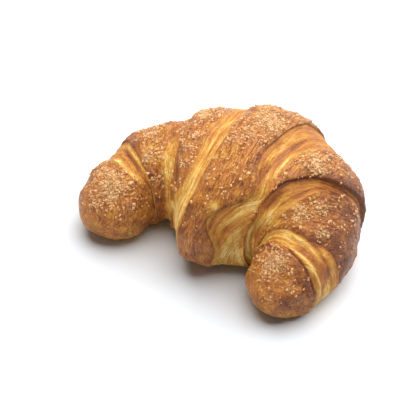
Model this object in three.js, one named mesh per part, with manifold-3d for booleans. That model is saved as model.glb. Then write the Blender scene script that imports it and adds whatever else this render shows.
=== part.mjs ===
// A sugared croissant, baked as one piece: a thick rolled crescent with two short horns.
// Millimetres, +Z up. The horns point to -Y and the back of the crescent faces +Y. The underside rests on Z = 0.
import * as THREE from 'three';
import { mergeVertices } from 'three/addons/utils/BufferGeometryUtils.js';
import Module from 'manifold-3d';

const DEGREE = Math.PI / 180;

// Control stations of the crescent from the left horn to the right one. Each has a point on the outer rail,
// a point on the inner rail and the height of the section between them.
const STATIONS = [
  { at: 'left tip', outer: [-70.2, -57.4], inner: [-33.0, -56.0], height: 29.2 },
  { at: 'left horn', outer: [-73.6, -17.8], inner: [-30.5, -26.1], height: 39.6 },
  { at: 'left bend', outer: [-53.4, 16.6], inner: [-20.5, -28.4], height: 48.3 },
  { at: 'left shoulder', outer: [-24.8, 42.5], inner: [-10.4, -45.4], height: 57.8 },
  { at: 'middle', outer: [-0.5, 50.2], inner: [-0.5, -51.7], height: 64.8 },
  { at: 'right shoulder', outer: [36.6, 45.2], inner: [12.8, -44.5], height: 63.8 },
  { at: 'right bend', outer: [65.6, 22.0], inner: [27.0, -28.5], height: 50.3 },
  { at: 'right horn', outer: [74.4, -15.8], inner: [32.8, -26.2], height: 38.0 },
  { at: 'right tip', outer: [62.6, -56.0], inner: [27.8, -45.8], height: 29.6 },
];

// The section is widest at this share of its height. It is nearly elliptic above and squarer below, where it sat
// on the tray.
const WIDEST_AT = 0.46;
const UPPER_ROUNDNESS = 0.95;
const LOWER_ROUNDNESS = 0.75;
const UNDERSIDE_FLAT_DEPTH = 0.9;

// The horns close over this share of the length, with this fullness.
const TIP_SHARE = 0.085;
const TIP_FULLNESS = 2.3;

// The edges of the wraps, as shares of the length. A swell moves an edge along the body around one angle of the
// section: 0 is the outer side, 90 the top, 180 the inner side and 270 the underside.
const EDGES = {
  left3: { share: 0.118, swells: [{ by: 0.034, angle: 55, tight: 1.5 }] },
  left2: { share: 0.282, swells: [{ by: -0.05, angle: 180, tight: 2.5 }, { by: 0.02, angle: 45, tight: 6 }] },
  left1: { share: 0.425, swells: [{ by: 0.052, angle: 135, tight: 2.2 }] },
  right1: {
    share: 0.583,
    swells: [
      { by: 0.085, angle: 127, tight: 15 },
      { by: -0.02, angle: 151, tight: 30 },
      { by: 0.05, angle: 185, tight: 14 },
      { by: -0.018, angle: 45, tight: 5 },
    ],
  },
  right2: { share: 0.737, swells: [{ by: -0.045, angle: 103, tight: 5 }] },
  right3: { share: 0.872, swells: [{ by: -0.05, angle: 140, tight: 4.5 }] },
};

// The wraps, each from the edge of the one above it, which is nearer the middle, out to its own edge. Beside the
// upper edge the layers of the dough stand open in a terrace with ridges. It starts a step below that edge, which is
// a share of its drop. The rest is crust that swells up to the wrap's lip, where it rolls over. A rim is a fold where
// the crust starts. Open gives the terrace's share of the wrap on the outer side and on the inner side of the
// crescent, and the two angles between which it changes. Soft is how much of the relief fades on the inner side.
// The middle wrap has a lip at both ends, so its lip gives the height at the left one and at the right one.
const WRAPS = [
  {
    from: 'left3', to: 0, open: { outer: 0.35, inner: 0.05, angles: [95, 145] },
    ridges: 3, drop: 2.2, step: 0.2, lip: 0.2, roll: 0, rim: 0, soft: 0, crustRings: 7,
  },
  {
    from: 'left2', to: 'left3', open: { outer: 0.3, inner: 0.5, angles: [80, 115] },
    ridges: 3, drop: 2.8, step: 0.8, lip: 1.4, roll: 1.0, rim: 0, soft: 0.3, crustRings: 4,
  },
  {
    from: 'left1', to: 'left2', open: { outer: 0.42, inner: 0.87, angles: [125, 165] },
    ridges: 4, drop: 2.2, step: 0.25, lip: 1.2, roll: 0.9, rim: 0, soft: 0.3, crustRings: 2,
  },
  {
    from: 'left1', to: 'right1', open: null,
    ridges: 0, drop: 0, step: 0, lip: [0.8, 1.7], roll: 1.2, rim: 0, soft: 0.3, crustRings: 6,
  },
  {
    from: 'right1', to: 'right2', open: { outer: 0.5, inner: 0.92, angles: [75, 125] },
    ridges: 4, drop: 3.0, step: 0.2, lip: 2.0, roll: 1.1, rim: 0, soft: 0.6, crustRings: 2,
  },
  {
    from: 'right2', to: 'right3', open: { outer: 0.14, inner: 0.75, angles: [55, 140] },
    ridges: 3, drop: 2.4, step: 0.5, lip: 0.6, roll: 0.8, rim: 0, soft: 0.3, crustRings: 4,
  },
  {
    from: 'right3', to: 1, open: { outer: 0.46, inner: 0.34, angles: [20, 100] },
    ridges: 3, drop: 0.9, step: 0.3, lip: -0.7, roll: 0, rim: 1.2, soft: 0, crustRings: 6,
  },
];
const UNDER = [230, 310];
const SOFT_SIDE = [60, 110];
const RIDGE_HEIGHT = 0.75;
const RIDGE_PEAK_AT = 0.7;
const TERRACE_END = 0.45;
const MIDDLE_ROLL = 0.15;
const LIP_ROLL = 0.3;
const RIM_WIDTH = 0.06;
const FULL_RELIEF_GAP = 15;
const LEAST_RELIEF = 0.12;
const LUMP_HEIGHT = 0.45;
const COLUMNS = 46;

// The largest sugar grains, fused to the crust.
const GRAIN_COUNT = 84;
const GRAIN_WIDTH = [1.4, 2.2];
const GRAIN_SPACING = 4.2;
const GRAIN_SUNK = 0.35;
const GRAIN_SEED = 20417;

// Value of a row of control numbers at share t of the length, by a uniform cubic B-spline.
function spline(values, t) {
  const last = values.length - 1;
  const padded = [2 * values[0] - values[1], ...values, 2 * values[last] - values[last - 1]];
  const x = THREE.MathUtils.clamp(t, 0, 1) * last;
  const i = Math.min(Math.floor(x), last - 1);
  const f = x - i;
  const b0 = (1 - f) ** 3 / 6;
  const b1 = (3 * f ** 3 - 6 * f ** 2 + 4) / 6;
  const b2 = (-3 * f ** 3 + 3 * f ** 2 + 3 * f + 1) / 6;
  const b3 = f ** 3 / 6;
  return b0 * padded[i] + b1 * padded[i + 1] + b2 * padded[i + 2] + b3 * padded[i + 3];
}

const outerX = STATIONS.map((s) => s.outer[0]);
const outerY = STATIONS.map((s) => s.outer[1]);
const innerX = STATIONS.map((s) => s.inner[0]);
const innerY = STATIONS.map((s) => s.inner[1]);
const heights = STATIONS.map((s) => s.height);

function tipClosing(t) {
  const nearest = Math.min(1, Math.min(t, 1 - t) / TIP_SHARE);
  return Math.sqrt(Math.max(0, 1 - (1 - nearest) ** TIP_FULLNESS));
}

function rounded(value, power) {
  return Math.sign(value) * Math.abs(value) ** power;
}

// Point of the smooth crescent at share t of the length and an angle of the section.
function smoothPoint(t, angle) {
  const closing = tipClosing(t);
  const height = spline(heights, t);
  const widest = WIDEST_AT * height;
  const roundness = Math.sin(angle) >= 0 ? UPPER_ROUNDNESS : LOWER_ROUNDNESS;
  const across = rounded(Math.cos(angle), roundness) * closing;
  const up = rounded(Math.sin(angle), roundness) * closing;
  const outer = [spline(outerX, t), spline(outerY, t)];
  const inner = [spline(innerX, t), spline(innerY, t)];
  const x = (outer[0] + inner[0]) / 2 + ((outer[0] - inner[0]) / 2) * across;
  const y = (outer[1] + inner[1]) / 2 + ((outer[1] - inner[1]) / 2) * across;
  const z = widest + (up >= 0 ? height - widest : widest) * up;
  return new THREE.Vector3(x, y, z);
}

function smoothNormal(t, angle) {
  const step = 0.002;
  const middle = THREE.MathUtils.clamp(t, 0.006, 0.994);
  const along = smoothPoint(middle + step, angle).sub(smoothPoint(middle - step, angle));
  const around = smoothPoint(middle, angle + 0.02).sub(smoothPoint(middle, angle - 0.02));
  return along.cross(around).normalize().negate();
}

function edgeShare(edge, angle) {
  if (typeof edge === 'number') return edge;
  const { share, swells } = EDGES[edge];
  return swells.reduce(
    (sum, s) => sum + s.by * Math.exp(s.tight * (Math.cos(angle - s.angle * DEGREE) - 1)),
    share,
  );
}

// Slow swelling of the crust, the same for every wrap.
function lump(p) {
  const a = Math.sin(p.x * 0.31 + 1.1) * Math.sin(p.y * 0.27 + 0.4) * Math.sin(p.z * 0.24 + 2.0);
  const b = Math.sin(p.x * 0.17 - p.y * 0.21 + 0.7) * Math.sin(p.z * 0.33 + p.x * 0.11);
  return a + b;
}

// From 0 on the outer side to 1 on the inner side, and back to 0 under the croissant.
function innerSide(angle, [low, high]) {
  const turned = angle / DEGREE;
  return THREE.MathUtils.smoothstep(turned, low, high) - THREE.MathUtils.smoothstep(turned, UNDER[0], UNDER[1]);
}

// Share of a wrap for a place that runs from 0 to 1 over its open layers and on to 2 over its crust.
// The middle wrap is all crust, and there the place is the share.
function shareAt(wrap, place, angle) {
  if (!wrap.open) return place;
  const { outer, inner, angles } = wrap.open;
  const open = outer + (inner - outer) * innerSide(angle, angles);
  return open * Math.min(place, 1) + (1 - open) * Math.max(place - 1, 0);
}

// How far a rolled lip has turned down at a distance from its edge, as shares of its width and its height.
function rollDown(distance) {
  return 1 - Math.sqrt(1 - Math.max(0, 1 - distance) ** 2);
}

// How far the surface of a wrap lies off the smooth crescent.
function relief(wrap, place, gap, angle) {
  const fading = 1 - wrap.soft * innerSide(angle, SOFT_SIDE);
  const scale = THREE.MathUtils.clamp(gap / FULL_RELIEF_GAP, LEAST_RELIEF, 1) * fading;
  if (!wrap.open) {
    const crown = THREE.MathUtils.lerp(wrap.lip[0], wrap.lip[1], place);
    return scale * (crown - wrap.roll * rollDown(Math.min(place, 1 - place) / MIDDLE_ROLL));
  }
  if (place <= 1) {
    const along = place * wrap.ridges;
    const number = Math.floor(along + 1e-9);
    const part = along - number;
    const saw = part < RIDGE_PEAK_AT ? part / RIDGE_PEAK_AT : (1 - part) / (1 - RIDGE_PEAK_AT);
    const wave = 0.75 + 0.25 * Math.sin(3 * angle + 2.3 * number + 5 * wrap.drop);
    const bow = 1 - (wrap.step + TERRACE_END) / 2;
    const depth = wrap.step + (TERRACE_END - wrap.step) * place + bow * 4 * place * (1 - place);
    return scale * (-wrap.drop * depth + RIDGE_HEIGHT * saw * wave);
  }
  const u = place - 1;
  const low = -TERRACE_END * wrap.drop;
  const swell = low + (wrap.lip - low) * Math.sin((u * Math.PI) / 2);
  if (typeof wrap.to === 'number') {
    const fold = (wrap.rim * u * Math.exp(1 - u / RIM_WIDTH)) / RIM_WIDTH;
    return scale * (swell + fold) * (1 - u ** 2);
  }
  return scale * (swell - wrap.roll * rollDown((1 - u) / LIP_ROLL));
}

function lengthShare(wrap, place, angle) {
  const start = edgeShare(wrap.from, angle);
  return start + shareAt(wrap, place, angle) * (edgeShare(wrap.to, angle) - start);
}

function surfacePoint(wrap, place, angle) {
  const start = edgeShare(wrap.from, angle);
  const end = edgeShare(wrap.to, angle);
  const t = lengthShare(wrap, place, angle);
  const middle = (start + end) / 2;
  const reach = Math.min(0.02, Math.abs(end - start) / 4);
  const speed = smoothPoint(middle + reach, angle).distanceTo(smoothPoint(middle - reach, angle)) / (2 * reach);
  const gap = speed * Math.abs(end - start);
  const point = smoothPoint(t, angle);
  const fade = THREE.MathUtils.smoothstep(Math.min(t, 1 - t), 0, TIP_SHARE / 2);
  const offset = relief(wrap, place, gap, angle) + LUMP_HEIGHT * lump(point) * fade;
  point.addScaledVector(smoothNormal(t, angle), offset);
  point.z = Math.max(0, point.z - UNDERSIDE_FLAT_DEPTH);
  return point;
}

// Places in a wrap at which the mesh has a ring: feet and crests of the ridges, the crust, then the rolled lip.
function ringPlaces(wrap) {
  const places = [];
  const lipSteps = [1, 0.35, 0];
  if (!wrap.open) {
    const span = 1 - 2 * MIDDLE_ROLL;
    lipSteps.slice().reverse().forEach((step) => places.push(step * MIDDLE_ROLL));
    for (let i = 1; i <= wrap.crustRings; i += 1) {
      places.push(MIDDLE_ROLL + (span * i) / (wrap.crustRings + 1));
    }
    lipSteps.forEach((step) => places.push(1 - step * MIDDLE_ROLL));
    return places;
  }
  for (let i = 0; i < wrap.ridges; i += 1) {
    places.push(i / wrap.ridges, (i + RIDGE_PEAK_AT) / wrap.ridges);
  }
  places.push(1);
  if (wrap.rim > 0) places.push(1 + RIM_WIDTH);
  const ending = typeof wrap.to === 'number';
  const crustStart = places[places.length - 1];
  const crustEnd = ending ? 2 : 2 - LIP_ROLL;
  for (let i = 1; i <= wrap.crustRings; i += 1) {
    const even = i / (wrap.crustRings + (ending ? 0.35 : 1));
    const share = ending ? Math.sin((even * Math.PI) / 2) ** 0.9 : even;
    places.push(crustStart + share * (crustEnd - crustStart));
  }
  if (!ending) lipSteps.forEach((step) => places.push(2 - step * LIP_ROLL));
  return places;
}

function buildBody() {
  const rings = [];
  WRAPS.forEach((wrap) => {
    const leftSide = edgeShare(wrap.to, 0) < edgeShare(wrap.from, 0);
    const places = ringPlaces(wrap);
    if (leftSide) places.reverse();
    places.forEach((place) => {
      const ring = [];
      for (let column = 0; column < COLUMNS; column += 1) {
        ring.push(surfacePoint(wrap, place, (2 * Math.PI * column) / COLUMNS));
      }
      rings.push(ring);
    });
  });
  const positions = rings.flat().flatMap((p) => [p.x, p.y, p.z]);
  const triangles = [];
  for (let i = 0; i + 1 < rings.length; i += 1) {
    for (let j = 0; j < COLUMNS; j += 1) {
      const a = i * COLUMNS + j;
      const b = i * COLUMNS + ((j + 1) % COLUMNS);
      triangles.push(a, b, a + COLUMNS, b, b + COLUMNS, a + COLUMNS);
    }
  }
  [{ ring: 0, t: 0 }, { ring: rings.length - 1, t: 1 }].forEach(({ ring, t }) => {
    const pole = smoothPoint(t, 0);
    const apex = positions.length / 3;
    positions.push(pole.x, pole.y, Math.max(0, pole.z - UNDERSIDE_FLAT_DEPTH));
    for (let j = 0; j < COLUMNS; j += 1) {
      const a = ring * COLUMNS + j;
      const b = ring * COLUMNS + ((j + 1) % COLUMNS);
      triangles.push(...(t === 0 ? [apex, b, a] : [apex, a, b]));
    }
  });
  const geometry = new THREE.BufferGeometry();
  geometry.setAttribute('position', new THREE.Float32BufferAttribute(positions, 3));
  geometry.setIndex(triangles);
  return geometry;
}

function seededRandom(seed) {
  let state = seed;
  return () => {
    state = (state * 1664525 + 1013904223) % 4294967296;
    return state / 4294967296;
  };
}

// Sugar grains on the crust that faces up, never on the open layers.
function grainSolids() {
  const random = seededRandom(GRAIN_SEED);
  const placed = [];
  const solids = [];
  while (placed.length < GRAIN_COUNT) {
    const wrap = WRAPS[Math.floor(random() * WRAPS.length)];
    const crust = wrap.open ? [1.15, 1.8] : [0.14, 0.86];
    const place = THREE.MathUtils.lerp(crust[0], crust[1], random());
    const angle = (20 + 140 * random()) * DEGREE;
    const point = surfacePoint(wrap, place, angle);
    const normal = smoothNormal(lengthShare(wrap, place, angle), angle);
    const width = THREE.MathUtils.lerp(GRAIN_WIDTH[0], GRAIN_WIDTH[1], random());
    const turn = new THREE.Euler(random() * 6, random() * 6, random() * 6);
    const long = 1 + 0.35 * random();
    if (normal.z < 0.3) continue;
    if (placed.some((other) => other.distanceTo(point) < GRAIN_SPACING)) continue;
    placed.push(point);
    const grain = new THREE.BoxGeometry(width * long, width, width / long);
    const centre = point.clone().addScaledVector(normal, width * (0.5 - GRAIN_SUNK));
    grain.applyMatrix4(new THREE.Matrix4().makeRotationFromEuler(turn));
    grain.translate(centre.x, centre.y, centre.z);
    solids.push(grain);
  }
  return solids;
}

const wasm = await Module();
wasm.setup();

function toManifold(geometry) {
  const bare = geometry.clone();
  bare.deleteAttribute('normal');
  bare.deleteAttribute('uv');
  const merged = mergeVertices(bare, 1e-5);
  return new wasm.Manifold(new wasm.Mesh({
    numProp: 3,
    vertProperties: new Float32Array(merged.attributes.position.array),
    triVerts: new Uint32Array(merged.index.array),
  }));
}

let solid = toManifold(buildBody());
grainSolids().forEach((grain) => {
  solid = solid.add(toManifold(grain));
});

const result = solid.getMesh();
const croissant = new THREE.BufferGeometry();
croissant.setAttribute('position', new THREE.Float32BufferAttribute(result.vertProperties, 3));
croissant.setIndex(Array.from(result.triVerts));
croissant.computeBoundingBox();
const middle = croissant.boundingBox.getCenter(new THREE.Vector3());
croissant.translate(-middle.x, -middle.y, -croissant.boundingBox.min.z);
croissant.computeVertexNormals();

const crust = new THREE.MeshStandardMaterial({ color: 0xc08a52, roughness: 0.6 });
const mesh = new THREE.Mesh(croissant, crust);
mesh.name = 'croissant';
const group = new THREE.Group();
group.add(mesh);
export default group;
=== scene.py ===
"""A sugared croissant: the looks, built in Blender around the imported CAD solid, in metres in its frame."""

import math

import bpy
import numpy as np
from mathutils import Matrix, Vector


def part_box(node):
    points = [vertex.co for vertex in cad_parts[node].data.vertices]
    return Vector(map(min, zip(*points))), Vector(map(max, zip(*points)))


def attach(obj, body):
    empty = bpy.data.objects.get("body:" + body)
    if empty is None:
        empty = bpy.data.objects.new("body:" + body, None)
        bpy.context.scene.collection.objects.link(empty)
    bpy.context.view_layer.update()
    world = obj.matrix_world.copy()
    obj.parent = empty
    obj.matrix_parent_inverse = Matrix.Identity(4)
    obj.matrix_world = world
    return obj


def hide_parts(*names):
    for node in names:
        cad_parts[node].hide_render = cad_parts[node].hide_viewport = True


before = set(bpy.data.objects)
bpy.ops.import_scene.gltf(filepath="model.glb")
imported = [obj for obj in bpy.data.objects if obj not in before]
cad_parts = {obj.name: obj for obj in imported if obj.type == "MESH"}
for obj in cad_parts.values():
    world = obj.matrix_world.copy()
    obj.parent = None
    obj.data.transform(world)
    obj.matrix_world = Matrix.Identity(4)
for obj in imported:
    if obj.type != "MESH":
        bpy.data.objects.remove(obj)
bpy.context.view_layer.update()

MM = 0.001
DEGREE = math.pi / 180

# Shape of the crescent, in millimetres.
# The same control stations as the CAD solid: outer rail x and y, inner rail x and y, height of the section.
STATIONS = np.array(
    [
        [-70.2, -57.4, -33.0, -56.0, 29.2],
        [-73.6, -17.8, -30.5, -26.1, 39.6],
        [-53.4, 16.6, -20.5, -28.4, 48.3],
        [-24.8, 42.5, -10.4, -45.4, 57.8],
        [-0.5, 50.2, -0.5, -51.7, 64.8],
        [36.6, 45.2, 12.8, -44.5, 63.8],
        [65.6, 22.0, 27.0, -28.5, 50.3],
        [74.4, -15.8, 32.8, -26.2, 38.0],
        [62.6, -56.0, 27.8, -45.8, 29.6],
    ]
)
WIDEST_AT = 0.46
UPPER_ROUNDNESS = 0.95
LOWER_ROUNDNESS = 0.75
UNDERSIDE_FLAT_DEPTH = 0.9
TIP_SHARE = 0.085
TIP_FULLNESS = 2.3

# Edges of the wraps: share of the length, then swells as (by, angle in degrees, tightness).
EDGES = {
    "left3": (0.118, [(0.034, 55, 1.5)]),
    "left2": (0.282, [(-0.05, 180, 2.5), (0.02, 45, 6)]),
    "left1": (0.425, [(0.052, 135, 2.2)]),
    "right1": (0.583, [(0.085, 127, 15), (-0.02, 151, 30), (0.05, 185, 14), (-0.018, 45, 5)]),
    "right2": (0.737, [(-0.045, 103, 5)]),
    "right3": (0.872, [(-0.05, 140, 4.5)]),
}
EDGE_WANDER = 0.0032
EDGE_NOISE_RADIUS = 3.2
EDGE_NOISE_APART = 9.1
EDGE_SEED = 3

# Wraps from the left horn to the right one, with the same sizes as the CAD solid. An end that is a number is
# a tip. Open is the share of the wrap where the layers stand open: on the outer side, on the inner side, and
# the two angles in degrees between which it changes. Ridges, drop and step shape the open layers, lip and
# roll the crust, rim is the rim of the right horn, and soft is how much flatter the inner side is. Rings is
# the number of mesh rings on the open layers and on the crust.
WRAPS = [
    dict(
        start="left3", end=0, open=(0.35, 0.05, 95, 145), ridges=3, drop=2.2, step=0.2,
        lip=0.2, roll=0, rim=0, soft=0, rings=(26, 48),
    ),
    dict(
        start="left2", end="left3", open=(0.3, 0.5, 80, 115), ridges=3, drop=2.8, step=0.8,
        lip=1.4, roll=1.0, rim=0, soft=0.3, rings=(34, 46),
    ),
    dict(
        start="left1", end="left2", open=(0.42, 0.87, 125, 165), ridges=4, drop=2.2, step=0.25,
        lip=1.2, roll=0.9, rim=0, soft=0.3, rings=(44, 42),
    ),
    dict(
        start="left1", end="right1", open=None, ridges=0, drop=0, step=0,
        lip=(0.8, 1.7), roll=1.2, rim=0, soft=0.3, rings=(0, 78),
    ),
    dict(
        start="right1", end="right2", open=(0.5, 0.92, 75, 125), ridges=4, drop=3.0, step=0.2,
        lip=2.0, roll=1.1, rim=0, soft=0.6, rings=(48, 38),
    ),
    dict(
        start="right2", end="right3", open=(0.14, 0.75, 55, 140), ridges=3, drop=2.4, step=0.5,
        lip=0.6, roll=0.8, rim=0, soft=0.3, rings=(36, 46),
    ),
    dict(
        start="right3", end=1, open=(0.46, 0.34, 20, 100), ridges=3, drop=0.9, step=0.3,
        lip=-0.7, roll=0, rim=1.2, soft=0, rings=(32, 44),
    ),
]
MIDDLE_WRAP = 3

# Number of mesh points around a section, and of rings close together at a lip.
COLUMNS = 176
LIP_RINGS = 9

# Angles in degrees between which the inner side ends under the croissant, and soft wraps flatten.
UNDER = (230, 310)
SOFT_SIDE = (60, 110)

# The second wrap's open layers are pale on its inner side only, and they fade in between these two angles.
PALE_INSIDE_WRAP = 1
PALE_INSIDE = (70, 105)

# On the inner side right of the middle the layers fan out across the wrap, in millimetres for each degree.
FAN_WRAP = 4
FAN_SIDE = (115, 140)
FAN_SHARE = 0.62
FAN_SLOPE = 0.27

# Relief of the wraps, with the same sizes as the CAD solid.
RIDGE_HEIGHT = 0.75
RIDGE_PEAK_AT = 0.7
TERRACE_END = 0.45
MIDDLE_ROLL = 0.15
LIP_ROLL = 0.3
RIM_WIDTH = 0.06
FULL_RELIEF_GAP = 15
LEAST_RELIEF = 0.12
LUMP_HEIGHT = 0.45

# Relief finer than the CAD solid holds, in millimetres.
STRAND_HEIGHT = 0.34
WRINKLE_HEIGHT = 0.35
BLISTER_HEIGHT = 0.4
CRAG_HEIGHT = 0.45
PORE_HEIGHT = 0.1
STREAK_DEPTH = 0.9

# How unevenly the layers' steps lie and the crust begins, and the places between which it begins, from 1 at
# the end of the open layers.
DRIFT = 0.16
RAGGEDNESS = 0.22
CRUST_BEGINS = (0.75, 1.15)

# How far from a lip its colour reaches, as a share of the wrap's crust.
MIDDLE_LIP_REACH = 0.2
LIP_REACH = 0.4

# Noise: waves for each millimetre and a seed.
DRIFT_WAVE = (0.11, 11)
RAGGED_WAVE = (0.16, 23)
BROKEN_WAVE = (0.07, 61)
BLISTER_WAVE = (0.33, 41)
CRAG_WAVE = (0.22, 47)
PORE_WAVE = (1.1, 43)
PATCH_WAVE = (0.06, 53)
CLOUD_WAVE = (0.16, 59)
SPOT_WAVE = (0.35, 83)

# Noise drawn out along the edges: waves for each millimetre across the wrap and around the section, and a
# seed. Each wrap reads it, and the material's lines, at a place of its own.
STRAND_WAVE = (0.75, 0.05, 31)
WRINKLE_WAVE = (0.42, 0.09, 37)
FLOW_APART = 7
LINES_APART = 40

# Radius in millimetres of the circle on which noise around the section is read, so that it closes.
RING_RADIUS = 22

# Layered noise: what each finer octave adds to the seed, its share of the one before and what the sum is
# divided by.
OCTAVE_SEED = 17
OCTAVE_SHARE = 0.5
OCTAVE_SUM = 1.6

# How dark the crust is baked, from 0 to 1, and what each thing adds to it.
CRUST_BAKE = 0.6
PATCH_BAKE = 0.13
CLOUD_BAKE = 0.12
BLISTER_BAKE = -0.08
RIM_BAKE = 0.3

# More for the outer side right of the middle: browner crust, and painted shade on that side. It begins and
# ends between these shares of the length. The side is where the cosine of the angle passes from the first
# number to the second.
OUTER_RIGHT_BAKE_AND_SHADE = 0.24
OUTER_RIGHT_FROM = (0.6, 0.75)
OUTER_RIGHT_TO = (0.85, 0.9)
OUTER_SIDE = (-0.3, 0.7)

# More for the inner side of the middle wrap, past these angles in degrees.
TAIL_BAKE = 0.06
TAIL_SIDE = (120, 160)

# The same for the open layers, which are paler past the two angles.
LAYER_BAKE = 0.22
LAYER_INNER_BAKE = -0.14
LAYER_GROOVE_BAKE = 0.38
LAYER_STRAND_BAKE = 0.22
LAYER_PATCH_BAKE = 0.12
PALER_SIDE = (85, 140)

# Share of the bake that is left at the foot of the sides, and the heights in millimetres where it rises.
FOOT_BAKE = 0.6
FOOT_HEIGHTS = (2, 16)

# How much darker each wrap is baked at its lip, how much darker its layers are painted right under the next
# lip, as painted shade of that lip (painted light where the number is below 0), and how much darker its open
# layers are all over. Right under the next lip is this share of the open layers.
UNDER_LIP = 0.12
LIP_BAKE = [0, 0.2, 0.1, 0.05, 0.15, 0.15, 0]
UNDER_LIP_SHADE = [0.25, 0.2, 0.05, 0, -0.1, 0.2, 0.1]
OPEN_BAKE = [0, -0.04, -0.08, 0, 0.04, 0.08, -0.08]

# Streaks along the open layers: from one angle to another in degrees, share of the length at the start, the
# middle and the end, half width in millimetres and change of bake and painted shade. Less bake is a pale
# edge, which stands out. More is a brown groove, and along the right2 edge also painted shadow of the lip
# above it.
# A streak fades over some degrees beyond its ends and within them. Angles count from the least one, so that a
# streak can cross 0.
STREAK_BEYOND = 6
STREAK_WITHIN = 8
LEAST_ANGLE = -20
STREAKS = [
    (139, 166, 0.626, 0.608, 0.612, 1.3, 0.45),
    (155, 180, 0.678, 0.660, 0.644, 1.2, 0.45),
    (137, 170, 0.662, 0.637, 0.626, 0.9, 0.35),
    (145, 182, 0.682, 0.654, 0.634, 1.0, -0.15),
    (155, 194, 0.713, 0.684, 0.648, 1.6, -0.18),
    (49, 102, 0.589, 0.594, 0.623, 1.2, -0.22),
    (43, 117, 0.600, 0.618, 0.654, 1.0, 0.3),
    (47, 110, 0.635, 0.642, 0.657, 1.6, -0.15),
    (94, 119, 0.617, 0.630, 0.647, 0.8, 0.3),
    # Along the right2 edge: a reddish brown line, and painted shadow of the lip above it.
    (37, 110, 0.745, 0.716, 0.688, 1.2, 0.15),
    (106, 133, 0.712, 0.726, 0.731, 1.4, 0.35),
    (43, 82, 0.757, 0.745, 0.732, 1.0, 0.3),
    (59, 117, 0.743, 0.718, 0.733, 1.3, -0.15),
    (96, 166, 0.755, 0.763, 0.745, 1.4, -0.2),
    (45, 119, 0.896, 0.880, 0.855, 0.8, -0.28),
    (-4, 94, 0.918, 0.914, 0.901, 0.8, -0.4),
    (4, 84, 0.904, 0.901, 0.896, 2.2, 0.42),
    (10, 84, 0.896, 0.886, 0.868, 1.3, 0.35),
    (-4, 96, 0.931, 0.927, 0.904, 1.0, 0.75),
    (72, 162, 0.412, 0.433, 0.447, 1.1, -0.22),
    (84, 119, 0.422, 0.429, 0.436, 0.7, 0.4),
    (100, 151, 0.286, 0.302, 0.315, 1.7, 0.25),
    (121, 166, 0.234, 0.236, 0.246, 1.0, -0.15),
    (117, 153, 0.160, 0.169, 0.169, 1.0, 0.2),
    (51, 133, 0.151, 0.133, 0.129, 1.1, -0.3),
    (57, 139, 0.138, 0.121, 0.120, 1.2, 0.3),
    (65, 133, 0.104, 0.099, 0.104, 1.3, -0.25),
    (98, 131, 0.093, 0.092, 0.096, 0.6, 0.3),
]

# Darker and paler spots: share of the length, angle in degrees, radius in millimetres and change of bake.
SPOTS = [
    (0.652, 133, 2.0, 0.35),
    (0.627, 133, 1.8, 0.2),
    (0.589, 98, 2.0, 0.3),
    (0.596, 104, 1.7, 0.2),
    (0.541, 112, 5.0, -0.08),
    (0.588, 143, 2.6, -0.3),
    (0.695, 133, 4.4, -0.2),
    (0.786, 160, 2.4, 0.15),
    (0.778, 174, 1.8, 0.12),
    (0.137, 127, 2.0, 0.25),
    (0.145, 133, 1.4, 0.25),
    (0.200, 112, 4.0, -0.3),
    (0.195, 131, 3.0, -0.25),
    # These two paler spots are the pale flap of layers, made paler still as painted light where the relief
    # shades it.
    (0.265, 170, 5.0, -0.5),
    (0.350, 167, 5.5, -0.45),
    (0.974, 20, 2.2, 0.35),
    (0.944, 35, 4.5, 0.26),
    (0.893, 8, 5.0, -0.12),
    (0.058, 141, 4.4, 0.12),
    (0.133, 168, 3.4, 0.15),
    (0.855, 45, 2.6, 0.2),
    (0.727, 51, 3.2, 0.12),
    (0.700, 186, 7.0, -0.35),
    (0.515, 139, 6.0, -0.18),
    (0.165, 96, 5.0, -0.15),
    (0.172, 174, 3.5, -0.22),
    (0.595, 146, 5.0, -0.12),
    (0.755, 176, 5.0, -0.15),
    (0.650, 137, 4.0, -0.12),
    (0.850, 88, 3.5, -0.12),
    (0.632, 53, 3.5, 0.15),
    (0.593, 84, 3.0, 0.12),
    (0.791, 41, 4.0, 0.12),
    (0.780, 31, 4.0, 0.28),
    (0.750, 194, 4.0, -0.2),
    (0.813, 119, 4.5, -0.15),
    (0.787, 133, 4.0, -0.15),
    (0.975, 358, 4.0, 0.18),
    (0.925, 4, 2.5, 0.2),
]

# Where the sugar lies thickest: share of the length, angle in degrees and radius in millimetres.
SUGAR_PATCHES = [
    (0.056, 92, 10.0),
    (0.199, 74, 4.6),
    (0.155, 102, 4.5),
    (0.324, 65, 5.5),
    (0.329, 92, 2.6),
    (0.525, 70, 9.5),
    (0.506, 84, 3.4),
    (0.685, 72, 6.0),
    (0.797, 98, 5.2),
    (0.789, 78, 4.6),
    (0.848, 68, 3.2),
    (0.945, 98, 8.0),
]

# Where the crust is bare of sugar: share of the length, angle in degrees and radius in millimetres.
BARE_PATCHES = [
    (0.520, 112, 9.0),
    (0.505, 138, 9.0),
    (0.470, 160, 8.0),
    (0.862, 30, 8.0),
]

# Sugar lies thinly where these parts of two kinds of noise pass from the first level to the second, and only
# on the upper side, which begins between two sines of the angle.
THIN_SUGAR = 0.45
THIN_SUGAR_CLOUD = 0.7
THIN_SUGAR_PATCH = 0.5
THIN_SUGAR_LEVELS = (-0.2, 0.45)
UPPER_SIDE = (0.1, 0.75)

# How ragged the outline of each spot and patch is.
SPOT_RAGGEDNESS = 0.35

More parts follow.
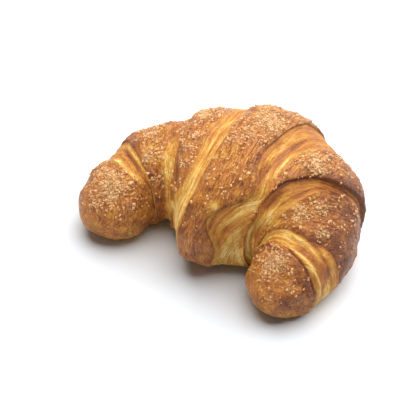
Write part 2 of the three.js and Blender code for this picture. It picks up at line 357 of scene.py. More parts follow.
# Sugar grains, in millimetres. The half width is typical, and the shift and the spread are those of its
# logarithm. Widths, heights and corners are shares of it, and so is the depth to which a grain is sunk.
GRAIN_COUNT = 4600
GRAIN_HALF_WIDTH = 0.46
GRAIN_SHIFT = -0.05
GRAIN_SPREAD = 0.4
LARGEST_HALF_WIDTH = 1.05
GRAIN_WIDTHS = (0.7, 1.0)
GRAIN_HEIGHTS = (0.5, 0.85)
GRAIN_CORNERS = (0.72, 1.1)
GRAIN_SINK = 0.5
GRAIN_SCATTER = 0.8

# Where they lie: on slopes that face up, a few everywhere, most where the sugar is thick, few on the lips.
GRAIN_SLOPES = (0.05, 0.6)
GRAINS_EVERYWHERE = 0.04
GRAINS_GATHER = 1.7
GRAINS_OFF_LIPS = 0.8
SEED = 71

# Colours of the crust from the palest layers to the darkest crust, as (bake, colour).
CRUST_COLOURS = [
    (0.0, (0.82, 0.59, 0.22, 1)),
    (0.2, (0.67, 0.385, 0.07, 1)),
    (0.38, (0.55, 0.24, 0.026, 1)),
    (0.58, (0.45, 0.15, 0.015, 1)),
    (0.78, (0.32, 0.096, 0.012, 1)),
    (1.0, (0.18, 0.045, 0.006, 1)),
]
SUGAR_VEIL_COLOUR = (0.64, 0.35, 0.13, 1)
SUGAR_CLUMP_COLOUR = (0.76, 0.45, 0.23, 1)
SUGAR_FILM_COLOURS = ((0.58, 0.27, 0.09, 1), (0.84, 0.54, 0.27, 1))
GRAIN_COLOURS = [
    (0.35, (0.52, 0.23, 0.07, 1)),
    (0.62, (0.74, 0.42, 0.2, 1)),
]
FLOOR_COLOUR = (0.89, 0.92, 0.95, 1)
WORLD_COLOUR = (0.84, 0.92, 1, 1)
WORLD_STRENGTH = 0.1

# Noise of the crust's colour and bumps: waves for each metre and detail.
MOTTLE = (170, 5)
SPECKLE = (620, 4)
GRIT = (1500, 2)
CLUMPS = (380, 3)
FILM_LUMPS = 900
GRAIN_NOISE = 260

# Lines along the edges of the wraps: waves for each millimetre across and around the section, and detail.
BROAD_LINES = (0.8, 0.1, 3)
FINE_LINES = (2.4, 0.3, 3)
HAIR_LINES = (6.0, 0.9, 2)
WRINKLE_LINES = (0.55, 0.2, 4)

# How much the lines and the spots change the bake.
BROAD_LINE_BAKE = 0.6
FINE_LINE_BAKE = 1.0
HAIR_LINE_BAKE = 0.6
MOTTLE_BAKE = 1.0
SPECKLE_BAKE = 0.5
CRACK_BAKE = 0.1

# Share of the lines that the crust has, and how much more the open layers have.
LINES_ON_CRUST = 0.4
MORE_ON_LAYERS = 0.5

# Share of the spots that the open layers have, and how much more the crust has.
SPOTS_ON_LAYERS = 0.45
MORE_ON_CRUST = 0.55
CRACK_SHARPNESS = 26.0

# Melted sugar shows as clumps where their noise and this share of the sugar together pass the level.
CLUMPS_WITH_SUGAR = 0.32
CLUMP_LEVEL = 0.76
CLUMP_SHARPNESS = 8.0

# Finer melted sugar is a film of lumps: how many there are where the sugar is thick, how high the middle of a
# lump is and how sharply one ends.
FILM_WITH_SUGAR = 1.4
FILM_MIDDLE = 1.2
FILM_SHARPNESS = 1.5

# How much of the crust's colour the melted sugar takes over.
VEIL_SHARE = 0.12
CLUMP_SHARE = 0.5
FILM_SHARE = 0.5

# Roughness of the crust, and how much rougher the open layers are.
CRUST_ROUGHNESS = 0.38
LAYERS_ROUGHER = 0.2

# Height of the bumps, as shares of their depth, which is in metres.
FINE_LINE_BUMP = 0.5
SPECKLE_BUMP = 1.0
MOTTLE_BUMP = 0.8
GRIT_BUMP = 0.2
FILM_BUMP = 0.6
CLUMP_BUMP = 0.5
CRACK_BUMP = 0.7
BUMP_STRENGTH = 0.8
BUMP_DEPTH = 0.0011

# Numbers of the hash that the noise is made with.
HASH_X = 374761393
HASH_Y = 668265263
HASH_Z = 2147483647
HASH_SEED = 974711
HASH_MIX = 1274126177
ALL_BITS = 0xFFFFFFFF
LOW_BITS = 0xFFFFFF


def hashed(ix, iy, iz, seed):
    """A fixed pseudo-random number from 0 to 1 for each lattice point."""
    h = (ix * HASH_X + iy * HASH_Y + iz * HASH_Z + seed * HASH_SEED) & ALL_BITS
    h = ((h ^ (h >> 13)) * HASH_MIX) & ALL_BITS
    h = (h ^ (h >> 16)) & LOW_BITS
    return h / float(LOW_BITS)


def eased(share):
    return share * share * (3 - 2 * share)


def noise(x, y, z, seed):
    """Smooth value noise from -1 to 1."""
    x, y, z = np.broadcast_arrays(x, y, z)
    ix = np.floor(x).astype(np.int64)
    iy = np.floor(y).astype(np.int64)
    iz = np.floor(z).astype(np.int64)
    fx = eased(x - ix)
    fy = eased(y - iy)
    fz = eased(z - iz)
    total = 0
    for dx in (0, 1):
        wx = fx if dx else 1 - fx
        for dy in (0, 1):
            wy = fy if dy else 1 - fy
            for dz in (0, 1):
                wz = fz if dz else 1 - fz
                total = total + wx * wy * wz * hashed(ix + dx, iy + dy, iz + dz, seed)
    return total * 2 - 1


def layered_noise(x, y, z, seed, octaves=3):
    """Noise with finer and weaker noise on top of it."""
    total = 0
    size = 1
    for i in range(octaves):
        total = total + noise(x * 2**i, y * 2**i, z * 2**i, seed + OCTAVE_SEED * i) * size
        size *= OCTAVE_SHARE
    return total / OCTAVE_SUM


def noise_at(point, wave, octaves=3):
    scale, seed = wave
    return layered_noise(point[..., 0] * scale, point[..., 1] * scale, point[..., 2] * scale, seed, octaves)


def ring_noise(angle, wave, place, octaves=3):
    """Noise around the section at a place in the wrap."""
    scale, seed = wave
    x = RING_RADIUS * np.cos(angle) * scale
    y = RING_RADIUS * np.sin(angle) * scale
    return layered_noise(x, y, place, seed, octaves)


def flow_noise(across, angle, index, wave):
    """Noise drawn out along the edges of the wrap with this index."""
    across_scale, around_scale, seed = wave
    x = RING_RADIUS * np.cos(angle) * around_scale
    y = RING_RADIUS * np.sin(angle) * around_scale + index * FLOW_APART
    return layered_noise(across * across_scale, x, y, seed)


def smooth_step(value, low, high):
    return eased(np.clip((value - low) / (high - low), 0, 1))


def spline(rows, t):
    """Rows of control values at share t of the length, by a uniform cubic B-spline."""
    last = len(rows) - 1
    padded = np.vstack([2 * rows[0] - rows[1], rows, 2 * rows[-1] - rows[-2]])
    x = np.clip(t, 0, 1) * last
    i = np.minimum(x.astype(int), last - 1)
    f = (x - i)[..., None]
    b0 = (1 - f) ** 3 / 6
    b1 = (3 * f**3 - 6 * f**2 + 4) / 6
    b2 = (-3 * f**3 + 3 * f**2 + 3 * f + 1) / 6
    b3 = f**3 / 6
    return b0 * padded[i] + b1 * padded[i + 1] + b2 * padded[i + 2] + b3 * padded[i + 3]


def signed_power(value, power):
    return np.sign(value) * np.abs(value) ** power


def smooth_point(t, angle):
    """Point of the smooth crescent at share t of its length."""
    row = spline(STATIONS, t)
    nearest = np.clip(np.minimum(t, 1 - t) / TIP_SHARE, 0, 1)
    closing = np.sqrt(np.clip(1 - (1 - nearest) ** TIP_FULLNESS, 0, None))
    power = np.where(np.sin(angle) >= 0, UPPER_ROUNDNESS, LOWER_ROUNDNESS)
    across = signed_power(np.cos(angle), power) * closing
    up = signed_power(np.sin(angle), power) * closing
    outer = row[..., 0:2]
    inner = row[..., 2:4]
    height = row[..., 4]
    widest = WIDEST_AT * height
    flat = (outer + inner) / 2 + (outer - inner) / 2 * across[..., None]
    z = widest + np.where(up >= 0, height - widest, widest) * up
    return np.concatenate([flat, z[..., None]], axis=-1)


def smooth_normal(t, angle):
    """Outward direction of the smooth crescent, from points close by."""
    along_step = 0.002
    around_step = 0.02
    tip_margin = 0.006
    middle = np.clip(t, tip_margin, 1 - tip_margin)
    along = smooth_point(middle + along_step, angle) - smooth_point(middle - along_step, angle)
    around = smooth_point(middle, angle + around_step) - smooth_point(middle, angle - around_step)
    normal = -np.cross(along, around)
    return normal / np.linalg.norm(normal, axis=-1, keepdims=True)


def edge_share(edge, angle):
    """Share of the length at which an edge lies, all round the section."""
    if not isinstance(edge, str):
        return np.full_like(angle, float(edge))
    share, swells = EDGES[edge]
    total = np.full_like(angle, share)
    for by, centre, tight in swells:
        total = total + by * np.exp(tight * (np.cos(angle - centre * DEGREE) - 1))
    x = EDGE_NOISE_RADIUS * np.cos(angle)
    y = EDGE_NOISE_RADIUS * np.sin(angle)
    wander = layered_noise(x, y, list(EDGES).index(edge) * EDGE_NOISE_APART, EDGE_SEED)
    return total + EDGE_WANDER * wander


def lump(p):
    """Low lumps, about from -2 to 2."""
    x, y, z = p[..., 0], p[..., 1], p[..., 2]
    a = np.sin(x * 0.31 + 1.1) * np.sin(y * 0.27 + 0.4) * np.sin(z * 0.24 + 2.0)
    b = np.sin(x * 0.17 - y * 0.21 + 0.7) * np.sin(z * 0.33 + x * 0.11)
    return a + b


def inner_side(angle, low, high):
    """From 0 on the outer side to 1 on the inner side, and back under the croissant."""
    turned = angle / DEGREE
    return smooth_step(turned, low, high) - smooth_step(turned, *UNDER)


def turned_past(angle, degrees):
    """From 0 before the first of two angles in degrees to 1 past the second."""
    return smooth_step(angle, degrees[0] * DEGREE, degrees[1] * DEGREE)


def streaks_at(t, angle, speed):
    """Change of bake and painted shade by the streaks, where speed is millimetres for each share of the
    length.
    """
    turned = (angle / DEGREE - LEAST_ANGLE) % 360 + LEAST_ANGLE
    total = np.zeros_like(t)
    for first, last, start, middle, end, half_width, change in STREAKS:
        s = np.clip((turned - first) / (last - first), 0, 1)
        line = start * (1 - s) * (1 - 2 * s) + middle * 4 * s * (1 - s) + end * s * (2 * s - 1)
        away = (t - line) * speed / half_width
        begun = smooth_step(turned, first - STREAK_BEYOND, first + STREAK_WITHIN)
        over = smooth_step(turned, last - STREAK_WITHIN, last + STREAK_BEYOND)
        total = total + change * (begun * (1 - over)) * np.exp(-(away**2))
    return total


def has_tip(wrap):
    """Whether a wrap ends at a tip of the croissant, instead of at a lip."""
    return not isinstance(wrap["end"], str)


def place_in_wrap(wrap, r, angle):
    """Share of a wrap for r, which runs from 0 to 1 over its open layers and on to 2 over its crust."""
    if wrap["open"] is None:
        return r
    outer, inner, low, high = wrap["open"]
    share = outer + (inner - outer) * inner_side(angle, low, high)
    return share * np.clip(r, 0, 1) + (1 - share) * np.clip(r - 1, 0, 1)


def ring_places(wrap):
    """Places in a wrap at which the mesh has rings, closest together at the lip."""
    open_rings, crust_rings = wrap["rings"]
    near_lip = 1 - np.sin(np.linspace(0, 1, LIP_RINGS) * math.pi / 2)
    if wrap["open"] is None:
        lip = 1 - MIDDLE_ROLL * near_lip
        middle = np.linspace(MIDDLE_ROLL, 1 - MIDDLE_ROLL, crust_rings - 2 * LIP_RINGS + 2)
        return np.concatenate([1 - lip[::-1], middle[1:-1], lip])
    layers = np.linspace(0, 1, open_rings + 1)[:-1]
    if has_tip(wrap):
        s = np.arange(crust_rings) / (crust_rings - 1 + 0.5)
        return np.concatenate([layers, 1 + s * 0.35 + 0.65 * np.sin(s * math.pi / 2) ** 1.15])
    lip = 2 - LIP_ROLL * near_lip
    middle = np.linspace(1, 2 - LIP_ROLL, crust_rings - LIP_RINGS + 1)
    return np.concatenate([layers, middle[:-1], lip])


def rolled_down(away, width):
    """How far a rolled lip has turned down, from 1 at its edge to 0 at a width away from it."""
    return 1 - np.sqrt(1 - np.clip(1 - away / width, 0, 1) ** 2)


def middle_relief(wrap, f):
    """Height of the middle wrap's crust, which has a lip on both sides, and how near they are."""
    to_lip = np.minimum(f, 1 - f)
    left_lip, right_lip = wrap["lip"]
    height = left_lip + (right_lip - left_lip) * f - wrap["roll"] * rolled_down(to_lip, MIDDLE_ROLL)
    return height, np.clip(1 - to_lip / MIDDLE_LIP_REACH, 0, 1)


def layers_relief(wrap, index, r, angle):
    """Height of the open layers, the rise of each one towards its edge and how strong it is there."""
    s = np.clip(r, 0, 1)
    drift = DRIFT * ring_noise(angle, DRIFT_WAVE, s * 1.5 + index * 5)
    place = np.clip(s + drift * s * (1 - s) * 1.4, 0, 1) * wrap["ridges"]
    number = np.floor(place + 1e-9)
    part = place - number
    rise = np.where(part < RIDGE_PEAK_AT, part / RIDGE_PEAK_AT, (1 - part) / (1 - RIDGE_PEAK_AT))
    wave = 0.75 + 0.25 * np.sin(3 * angle + 2.3 * number + 5 * wrap["drop"])
    broken = 0.72 + 0.5 * ring_noise(angle, BROKEN_WAVE, number * 3.1 + index * 9, 2)
    strength = wave * np.clip(broken, 0.15, 1.15)
    bow = 1 - (wrap["step"] + TERRACE_END) / 2
    depth = wrap["step"] + (TERRACE_END - wrap["step"]) * s + bow * 4 * s * (1 - s)
    height = -wrap["drop"] * depth + RIDGE_HEIGHT * rise * strength
    return height, rise, strength


def crust_relief(wrap, r):
    """Height of the crust beyond the open layers, how near its lip is, and the rim that a horn has."""
    u = np.clip(r - 1, 0, 1)
    low = -TERRACE_END * wrap["drop"]
    swell = low + (wrap["lip"] - low) * np.sin(u * math.pi / 2)
    if has_tip(wrap):
        rim = u * np.exp(1 - u / RIM_WIDTH) / RIM_WIDTH
        return (swell + wrap["rim"] * rim) * (1 - u**2), np.zeros_like(u), rim
    height = swell - wrap["roll"] * rolled_down(1 - u, LIP_ROLL)
    return height, np.clip(1 - (1 - u) / LIP_REACH, 0, 1), np.zeros_like(u)


def wrap_surface(index, r, angle):
    """Points of a wrap and the facts that its colours are worked out from."""
    wrap = WRAPS[index]
    f = place_in_wrap(wrap, r, angle)
    start = edge_share(wrap["start"], angle)
    end = edge_share(wrap["end"], angle)
    t = start + f * (end - start)
    middle = (start + end) / 2
    reach = np.minimum(0.02, np.abs(end - start) / 4)
    span = smooth_point(middle + reach, angle) - smooth_point(middle - reach, angle)
    speed = np.linalg.norm(span, axis=-1) / (2 * reach)
    gap = speed * np.abs(end - start)
    scale = np.clip(gap / FULL_RELIEF_GAP, LEAST_RELIEF, 1)
    scale = scale * (1 - wrap["soft"] * inner_side(angle, *SOFT_SIDE))
    across = f * gap
    fan = np.zeros_like(f)
    if index == FAN_WRAP:
        fan = inner_side(angle, *FAN_SIDE)
        fan_lines = (t - FAN_SHARE) * speed + FAN_SLOPE * (angle / DEGREE - FAN_SIDE[1])
        across = across * (1 - fan) + fan_lines * fan

    if wrap["open"] is None:
        height, lip_near = middle_relief(wrap, f)
        layered = np.zeros_like(f)
        crest = np.zeros_like(f)
        rim = np.zeros_like(f)
    else:
        open_height, rise, strength = layers_relief(wrap, index, r, angle)
        crust_height, lip_near, rim = crust_relief(wrap, r)
        height = np.where(r <= 1, open_height, crust_height)
        ragged = RAGGEDNESS * ring_noise(angle, RAGGED_WAVE, index * 3.7)
        layered = 1 - smooth_step(r + ragged, *CRUST_BEGINS)
        if index == PALE_INSIDE_WRAP:
            layered = layered * inner_side(angle, *PALE_INSIDE)
        crest = (rise * (1 - fan) + 0.5 * fan) * strength

    # Strands run along the edges where the layers stand open, wrinkles and blisters cover the crust.
    smooth = smooth_point(t, angle)
    strand = flow_noise(across, angle, index, STRAND_WAVE)
    wrinkle = flow_noise(across, angle, index, WRINKLE_WAVE)
    blister = noise_at(smooth, BLISTER_WAVE)
    crag = np.abs(noise_at(smooth, CRAG_WAVE)) * 2 - 0.5
    pore = noise_at(smooth, PORE_WAVE, 2)
    streaks = streaks_at(t, angle, speed)
    fade = smooth_step(np.minimum(t, 1 - t), 0, TIP_SHARE / 2)
    fine = STRAND_HEIGHT * strand * layered
    fine = fine + (WRINKLE_HEIGHT * wrinkle + BLISTER_HEIGHT * blister + CRAG_HEIGHT * crag) * (1 - layered)
    fine = fine + PORE_HEIGHT * pore - STREAK_DEPTH * streaks
    offset = height * scale + (LUMP_HEIGHT * lump(smooth) + fine) * fade
    point = smooth + smooth_normal(t, angle) * offset[..., None]
    side = smooth_step(point[..., 2], *FOOT_HEIGHTS)
    point[..., 2] = np.maximum(0, point[..., 2] - UNDERSIDE_FLAT_DEPTH)
    return dict(
        point=point, smooth=smooth, t=t, across=across, layered=layered, crest=crest, lip=lip_near,
        rim=rim * (wrap["rim"] > 0), strand=strand, blister=blister, side=side, streaks=streaks,
    )


def build_rings():
    """The body's rings from the left tip to the right tip, each fact as an array of rings by columns."""
    angles = np.linspace(0, 2 * math.pi, COLUMNS, endpoint=False)
    parts = []
    for index, wrap in enumerate(WRAPS):
        places = ring_places(wrap)
        if index < MIDDLE_WRAP:
            places = places[::-1]
        r, angle = np.meshgrid(places, angles, indexing="ij")
        facts = wrap_surface(index, r, angle)
        facts.update(r=r, angle=angle, wrap=np.full(r.shape, index))
        parts.append(facts)
    return {key: np.concatenate([part[key] for part in parts]) for key in parts[0]}


def shift_to_frame(points):
    """Shift in millimetres that sets the middle of the footprint on the middle of the CAD solid's."""
    low = points.min(axis=0)
    high = points.max(axis=0)
    cad_low, cad_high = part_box("croissant")
    shift = np.zeros(3)
    for axis in (0, 1):
        shift[axis] = -(low[axis] + high[axis]) / 2 + (cad_low[axis] + cad_high[axis]) / 2 / MM
    return shift


rings = build_rings()
MOVE = shift_to_frame(rings["point"].reshape(-1, 3))


def baked_and_shaded(r, patches, cloud):
    """How dark the crust and the open layers are baked, with painted shade under the lips, on the outer right
    and in streaks, before spots.
    """
    wrap = r["wrap"]
    layered = r["layered"]
    crust = CRUST_BAKE + PATCH_BAKE * patches + CLOUD_BAKE * cloud + BLISTER_BAKE * r["blister"]
    crust = crust + np.choose(wrap, LIP_BAKE) * r["lip"] * (1 - layered) + RIM_BAKE * np.clip(r["rim"], 0, 1)
    inner = turned_past(r["angle"], PALER_SIDE)
    groove = (1 - r["crest"]) * layered
    layers = LAYER_BAKE + LAYER_INNER_BAKE * inner + LAYER_GROOVE_BAKE * groove
    layers = layers + LAYER_STRAND_BAKE * r["strand"] + LAYER_PATCH_BAKE * patches
    layers = layers + np.choose(wrap, OPEN_BAKE)
    # Painted shade on the open layers right under the next lip, where that lip casts its shadow.
    in_lip_shade = 1 - smooth_step(r["r"], 0.0, UNDER_LIP)
    layers = layers + np.choose(wrap, UNDER_LIP_SHADE) * in_lip_shade
    bake_and_shade = crust * (1 - layered) + layers * layered
    # Browner crust and painted shade on the outer side right of the middle.
    outer_right = smooth_step(r["t"], *OUTER_RIGHT_FROM) * smooth_step(np.cos(r["angle"]), *OUTER_SIDE)
    before_horn = 1 - smooth_step(r["t"], *OUTER_RIGHT_TO)
    return bake_and_shade + OUTER_RIGHT_BAKE_AND_SHADE * outer_right * before_horn + r["streaks"]


def colour_facts(r):
    """How dark each place is baked, with painted shade and light, how open its layers are and how much sugar
    lies on it, from 0 to 1.
    """
    patches = noise_at(r["point"], PATCH_WAVE)
    cloud = noise_at(r["point"], CLOUD_WAVE)
    ragged = 1 + SPOT_RAGGEDNESS * noise_at(r["smooth"], SPOT_WAVE)

    def nearness(share, angle, radius):
        """From 1 at a place on the crescent to 0 away from it, with a ragged outline."""
        centre = smooth_point(np.array(share), np.array(angle * DEGREE))
        away = np.linalg.norm(r["smooth"] - centre, axis=-1) * ragged / radius
        return np.exp(-(away**2))

    bake_and_shade = baked_and_shaded(r, patches, cloud)
    for share, angle, radius, change in SPOTS:
        bake_and_shade = bake_and_shade + change * nearness(share, angle, radius)
    tail = turned_past(r["angle"], TAIL_SIDE) * (r["wrap"] == MIDDLE_WRAP)
    bake_and_shade = bake_and_shade + TAIL_BAKE * tail
    bake_and_shade = bake_and_shade * (FOOT_BAKE + (1 - FOOT_BAKE) * r["side"])

    top = smooth_step(np.sin(r["angle"]), *UPPER_SIDE)
    thin = cloud * THIN_SUGAR_CLOUD + patches * THIN_SUGAR_PATCH
    sugar = THIN_SUGAR * smooth_step(thin, *THIN_SUGAR_LEVELS)
    for share, angle, radius in SUGAR_PATCHES:
        sugar = np.maximum(sugar, nearness(share, angle, radius))
    for share, angle, radius in BARE_PATCHES:
        sugar = sugar * (1 - nearness(share, angle, radius))
    sugar = sugar * (1 - r["layered"]) * top
    return np.clip(bake_and_shade, 0, 1), r["layered"] * r["side"], sugar


bake_and_shade, layered, sugar = colour_facts(rings)


def mesh_object(name, vertices, faces):
    mesh = bpy.data.meshes.new(name)
    mesh.from_pydata(vertices.tolist(), [], faces)
    mesh.validate()
    mesh.polygons.foreach_set("use_smooth", [True] * len(mesh.polygons))
    obj = bpy.data.objects.new(name, mesh)
    bpy.context.scene.collection.objects.link(obj)
    return obj


def add_attribute(obj, name, values, kind="FLOAT"):
    attribute = obj.data.attributes.new(name, kind, "POINT")
    key = "vector" if kind == "FLOAT_VECTOR" else "value"
    attribute.data.foreach_set(key, np.asarray(values, dtype=np.float32).ravel())


def build_body():
    """The croissant: its rings joined by quads, with a point at each tip."""
    points = rings["point"] + MOVE
    count, columns = points.shape[:2]
    grid = np.arange(count * columns).reshape(count, columns)
    turned = np.roll(grid, -1, axis=1)
    quads = np.stack([grid[:-1], turned[:-1], turned[1:], grid[1:]], axis=-1).reshape(-1, 4)
    faces = quads.tolist()
    poles = []
    for ring, t in ((0, 0.0), (count - 1, 1.0)):
        apex = smooth_point(np.array(t), np.array(0.0)) + MOVE
        apex[2] = max(0, apex[2] - UNDERSIDE_FLAT_DEPTH)
        poles.append(apex)
        number = count * columns + len(poles) - 1
        for a, b in zip(grid[ring], turned[ring]):
            faces.append([number, int(b), int(a)] if t == 0 else [number, int(a), int(b)])
    vertices = np.concatenate([points.reshape(-1, 3), np.array(poles)]) * MM
    body = mesh_object("croissant_body", vertices, faces)

    def with_poles(values):
        flat = values.reshape(-1)
        return np.concatenate([flat, [values[0].mean(), values[-1].mean()]])

    add_attribute(body, "bake_and_shade", with_poles(bake_and_shade))
    add_attribute(body, "layered", with_poles(layered))
    add_attribute(body, "sugar", with_poles(sugar))
    flow = np.stack(
        [
            with_poles(rings["across"] + LINES_APART * rings["wrap"]),
            with_poles(RING_RADIUS * np.cos(rings["angle"])),
            with_poles(RING_RADIUS * np.sin(rings["angle"])),
        ],
        axis=-1,
    )
    add_attribute(body, "flow", flow, "FLOAT_VECTOR")
    return body


body = build_body()


def grain_places(random):
    """Places and normals for sugar grains on the crust that faces up, most where the sugar is thick."""
    p = rings["point"] + MOVE
    along = p[2:, 1:-1] - p[:-2, 1:-1]
    around = p[1:-1, 2:] - p[1:-1, :-2]
    normal = np.cross(around, along)
    area = np.linalg.norm(normal, axis=-1)
    normal = normal / np.maximum(area, 1e-9)[..., None]
    centre = p[1:-1, 1:-1]
    outward = centre - centre.mean(axis=1, keepdims=True)
    normal = normal * np.sign((normal * outward).sum(axis=-1, keepdims=True))
    up = smooth_step(normal[..., 2], *GRAIN_SLOPES)
    thick = GRAINS_EVERYWHERE + sugar[1:-1, 1:-1] ** GRAINS_GATHER
    weight = area * up * thick * (1 - layered[1:-1, 1:-1]) ** 2
    weight = weight * (1 - GRAINS_OFF_LIPS * rings["lip"][1:-1, 1:-1] ** 2)
    chance = (weight / weight.sum()).ravel()
    picks = random.choice(chance.size, size=GRAIN_COUNT, p=chance)
    scatter = random.uniform(-0.5, 0.5, size=(GRAIN_COUNT, 3)) * GRAIN_SCATTER
    return centre.reshape(-1, 3)[picks] + scatter, normal.reshape(-1, 3)[picks]


def build_grains():
    """The sugar: uneven boxes turned at random and sunk into the crust, all in one mesh."""
    random = np.random.default_rng(SEED)
    corners = np.array([[x, y, z] for z in (-1, 1) for y in (-1, 1) for x in (-1, 1)], dtype=float)
    sides = np.array([[0, 2, 3, 1], [4, 5, 7, 6], [0, 1, 5, 4], [2, 6, 7, 3], [0, 4, 6, 2], [1, 3, 7, 5]])
    vertices = []
    faces = []
    for number, (place, normal) in enumerate(zip(*grain_places(random))):
        size = min(GRAIN_HALF_WIDTH * np.exp(random.normal(GRAIN_SHIFT, GRAIN_SPREAD)), LARGEST_HALF_WIDTH)
        stretch = np.array([1.0, random.uniform(*GRAIN_WIDTHS), random.uniform(*GRAIN_HEIGHTS)])
        uneven = random.uniform(*GRAIN_CORNERS, size=(8, 3))
        turn = np.linalg.qr(random.normal(size=(3, 3)))[0]
        if np.linalg.det(turn) < 0:
            turn[:, 0] *= -1
        shape = (corners * uneven * stretch * size) @ turn.T
        vertices.append(shape + place - normal * size * GRAIN_SINK)
        faces.append(sides + 8 * number)
    return mesh_object("croissant_sugar", np.concatenate(vertices) * MM, np.concatenate(faces).tolist())


grains = build_grains()


# Materials.
def node_tree(name):
    material = bpy.data.materials.new(name)
    material.use_nodes = True
    return material, material.node_tree.nodes, material.node_tree.links


def set_ramp(ramp, stops):
    elements = ramp.color_ramp.elements
    while len(elements) < len(stops):
        elements.new(0.5)
    for element, (position, colour) in zip(elements, stops):
        element.position = position
        element.color = colour


def crust_material():
    material, nodes, links = node_tree("baked_crust")
    shader = nodes["Principled BSDF"]

    def attribute(name):
        node = nodes.new("ShaderNodeAttribute")
        node.attribute_name = name
        return node

    def math_node(operation, a, b, clamp=False):
        node = nodes.new("ShaderNodeMath")
        node.operation = operation
        node.use_clamp = clamp
        for socket, value in zip(node.inputs, (a, b)):
            if isinstance(value, (int, float)):
                socket.default_value = value
            else:
                links.new(value, socket)
        return node.outputs[0]

    def add(first, *others, clamp=False):
        total = first
        for other in others:
            total = math_node("ADD", total, other, clamp)
        return total

    def times(a, b, clamp=False):
        return math_node("MULTIPLY", a, b, clamp)

    def less(a, b, clamp=False):
        return math_node("SUBTRACT", a, b, clamp)

    def centred(value, amount):
        return times(less(value, 0.5), amount)

    def noise_node(vector, scale, detail, stretch=(1, 1, 1)):
        mapping = nodes.new("ShaderNodeMapping")
        mapping.inputs["Scale"].default_value = stretch
        links.new(vector, mapping.inputs["Vector"])
        texture = nodes.new("ShaderNodeTexNoise")
        texture.inputs["Scale"].default_value = scale
        texture.inputs["Detail"].default_value = detail
        links.new(mapping.outputs[0], texture.inputs["Vector"])
        return texture.outputs["Fac"]

    def lines_node(across, around, detail):
        return noise_node(flow, 1.0, detail, (across, around, around))

    def mix(factor, a, b):
        node = nodes.new("ShaderNodeMix")
        node.data_type = "RGBA"
        links.new(factor, node.inputs[0])
        for socket, value in ((node.inputs[6], a), (node.inputs[7], b)):
            if isinstance(value, tuple):
                socket.default_value = value
            else:
                links.new(value, socket)
        return node.outputs[2]

    # The colour follows how dark each place is baked, which also holds painted shade under the lips, on the
    # outer right side and along the right2 edge, and painted light on the pale flap.
    bake_and_shade_value = attribute("bake_and_shade").outputs["Fac"]
    layered_value = attribute("layered").outputs["Fac"]
    sugar_value = attribute("sugar").outputs["Fac"]
    flow = attribute("flow").outputs["Vector"]
    place = nodes.new("ShaderNodeTexCoord").outputs["Object"]
    crust_part = less(1.0, layered_value)

    # Lines along the layers, strongest where they stand open, and spots all over, strongest on the crust.
    fine_lines = lines_node(*FINE_LINES)
    lines = add(
        centred(lines_node(*BROAD_LINES), BROAD_LINE_BAKE),
        centred(fine_lines, FINE_LINE_BAKE),
        centred(lines_node(*HAIR_LINES), HAIR_LINE_BAKE),
    )
    lines = times(lines, add(times(layered_value, MORE_ON_LAYERS), LINES_ON_CRUST))
    mottle = noise_node(place, *MOTTLE)
    speckle = noise_node(place, *SPECKLE)
    spots = add(centred(mottle, MOTTLE_BAKE), centred(speckle, SPECKLE_BAKE))
    spots = times(spots, add(times(crust_part, MORE_ON_CRUST), SPOTS_ON_LAYERS))

    # Thin wrinkles run along the crust.
    off_line = math_node("ABSOLUTE", less(lines_node(*WRINKLE_LINES), 0.5), 0.0)
    crack = times(less(1.0, times(off_line, CRACK_SHARPNESS), clamp=True), crust_part)

    total = add(add(bake_and_shade_value, lines, spots), times(crack, CRACK_BAKE), clamp=True)
    ramp = nodes.new("ShaderNodeValToRGB")
    links.new(total, ramp.inputs["Fac"])
    set_ramp(ramp, CRUST_COLOURS)

    # Sugar that half melted into soft pale clumps a few millimetres across.
    clump = add(noise_node(place, *CLUMPS), times(sugar_value, CLUMPS_WITH_SUGAR))
    clump = times(less(clump, CLUMP_LEVEL), CLUMP_SHARPNESS, clamp=True)

    # Fine sugar that melted into the crust, as small pale lumps.
    cells = nodes.new("ShaderNodeTexVoronoi")
    cells.inputs["Scale"].default_value = FILM_LUMPS
    links.new(place, cells.inputs["Vector"])
    pick = nodes.new("ShaderNodeSeparateColor")
    links.new(cells.outputs["Color"], pick.inputs[0])
    covered = add(times(sugar_value, FILM_WITH_SUGAR), less(pick.outputs[0], 1.0))
    lumpy = less(FILM_MIDDLE, cells.outputs["Distance"], clamp=True)
    film = times(times(covered, FILM_SHARPNESS, clamp=True), lumpy, clamp=True)
    veiled = mix(times(sugar_value, VEIL_SHARE), ramp.outputs["Color"], SUGAR_VEIL_COLOUR)
    clumped = mix(times(clump, CLUMP_SHARE), veiled, SUGAR_CLUMP_COLOUR)
    film_colour = mix(pick.outputs[1], *SUGAR_FILM_COLOURS)
    colour = mix(times(film, FILM_SHARE), clumped, film_colour)
    links.new(colour, shader.inputs["Base Color"])

    rough = add(times(layered_value, LAYERS_ROUGHER), CRUST_ROUGHNESS)
    links.new(rough, shader.inputs["Roughness"])
    shader.inputs["Specular IOR Level"].default_value = 0.5
    shader.inputs["Subsurface Weight"].default_value = 0.15
    shader.inputs["Subsurface Radius"].default_value = (0.0016, 0.0008, 0.0003)
    shader.inputs["Subsurface Scale"].default_value = 1.0

    rise = add(
        times(fine_lines, FINE_LINE_BUMP),
        times(speckle, SPECKLE_BUMP),
        times(mottle, MOTTLE_BUMP),
        times(noise_node(place, *GRIT), GRIT_BUMP),
        times(film, FILM_BUMP),
        times(clump, CLUMP_BUMP),
    )
    bump = nodes.new("ShaderNodeBump")
    bump.inputs["Strength"].default_value = BUMP_STRENGTH
    bump.inputs["Distance"].default_value = BUMP_DEPTH
    links.new(less(rise, times(crack, CRACK_BUMP)), bump.inputs["Height"])
    links.new(bump.outputs["Normal"], shader.inputs["Normal"])
    return material


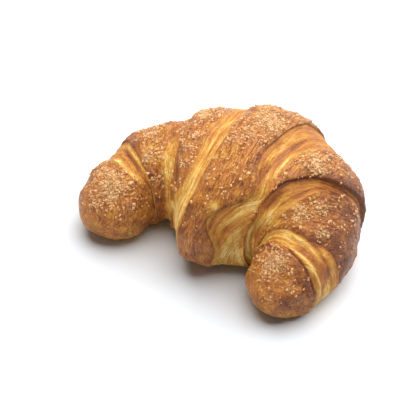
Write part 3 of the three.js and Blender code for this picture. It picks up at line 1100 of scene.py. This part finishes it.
def sugar_material():
    material, nodes, links = node_tree("coarse_sugar")
    shader = nodes["Principled BSDF"]
    place = nodes.new("ShaderNodeTexCoord").outputs["Object"]
    texture = nodes.new("ShaderNodeTexNoise")
    texture.inputs["Scale"].default_value = GRAIN_NOISE
    links.new(place, texture.inputs["Vector"])
    ramp = nodes.new("ShaderNodeValToRGB")
    set_ramp(ramp, GRAIN_COLOURS)
    links.new(texture.outputs["Fac"], ramp.inputs["Fac"])
    links.new(ramp.outputs["Color"], shader.inputs["Base Color"])
    shader.inputs["Roughness"].default_value = 0.3
    shader.inputs["IOR"].default_value = 1.5
    shader.inputs["Subsurface Weight"].default_value = 0.5
    shader.inputs["Subsurface Radius"].default_value = (0.0012, 0.0008, 0.0005)
    shader.inputs["Subsurface Scale"].default_value = 1.0
    return material


body.data.materials.append(crust_material())
grains.data.materials.append(sugar_material())
for piece in (body, grains):
    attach(piece, "root")
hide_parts("croissant")


# Floor, lights and camera.
def build_floor():
    half = 3.0
    corners = np.array([[-half, -half, 0], [half, -half, 0], [half, half, 0], [-half, half, 0]])
    floor = mesh_object("floor", corners, [[0, 1, 2, 3]])
    material, nodes, _links = node_tree("white_floor")
    nodes["Principled BSDF"].inputs["Base Color"].default_value = FLOOR_COLOUR
    nodes["Principled BSDF"].inputs["Roughness"].default_value = 0.9
    floor.data.materials.append(material)


build_floor()

# Directions as the viewer sees them.
AZIMUTH = 35 * DEGREE
ELEVATION = 46 * DEGREE
RIGHT = Vector((math.cos(AZIMUTH), math.sin(AZIMUTH), 0))
FORWARD = Vector((-math.sin(AZIMUTH), math.cos(AZIMUTH), 0))
BACK = -FORWARD * math.cos(ELEVATION) + Vector((0, 0, math.sin(ELEVATION)))


def area_light(name, right, forward, up, size, power, colour=(1, 1, 1)):
    """A soft light at a place given from the viewer's side, aimed at the croissant."""
    data = bpy.data.lights.new(name, "AREA")
    data.shape = "DISK"
    data.size = size
    data.energy = power
    data.color = colour
    light = bpy.data.objects.new(name, data)
    light.location = RIGHT * right + FORWARD * forward + Vector((0, 0, up))
    aim = Vector((0, 0, 0.02)) - light.location
    light.rotation_euler = aim.to_track_quat("-Z", "Y").to_euler()
    bpy.context.scene.collection.objects.link(light)
    return light


area_light("key", right=0.25, forward=0.4, up=0.9, size=2.0, power=34)
fill = area_light("fill", right=-1.0, forward=-0.6, up=0.9, size=0.9, power=11, colour=(1, 0.88, 0.72))

# The fill lights the croissant alone, so it casts no second shadow on the floor.
lit = bpy.data.collections.new("lit_by_fill")
for piece in (body, grains):
    lit.objects.link(piece)
fill.light_linking.receiver_collection = lit

world = bpy.data.worlds.new("studio")
world.use_nodes = True
world.node_tree.nodes["Background"].inputs["Color"].default_value = WORLD_COLOUR
world.node_tree.nodes["Background"].inputs["Strength"].default_value = WORLD_STRENGTH
bpy.context.scene.world = world
bpy.context.scene.view_settings.view_transform = "Standard"
bpy.context.scene.view_settings.look = "None"

# A long lens, aimed at a point that is given in millimetres in the frame of the stations.
CAMERA_DISTANCE = 1.1
FRAME_WIDTH = 0.2184
SENSOR_WIDTH = 36
AIM_POINT = np.array([-14.76, -5.07, 4.17])
AIM = Vector((AIM_POINT + MOVE) * MM)
camera_data = bpy.data.cameras.new("camera")
camera_data.sensor_width = SENSOR_WIDTH
camera_data.lens = SENSOR_WIDTH * CAMERA_DISTANCE / FRAME_WIDTH
camera_data.clip_end = 20
camera = bpy.data.objects.new("camera", camera_data)
camera.location = AIM + BACK * CAMERA_DISTANCE
camera.rotation_euler = (-BACK).to_track_quat("-Z", "Y").to_euler()
bpy.context.scene.collection.objects.link(camera)
bpy.context.scene.camera = camera
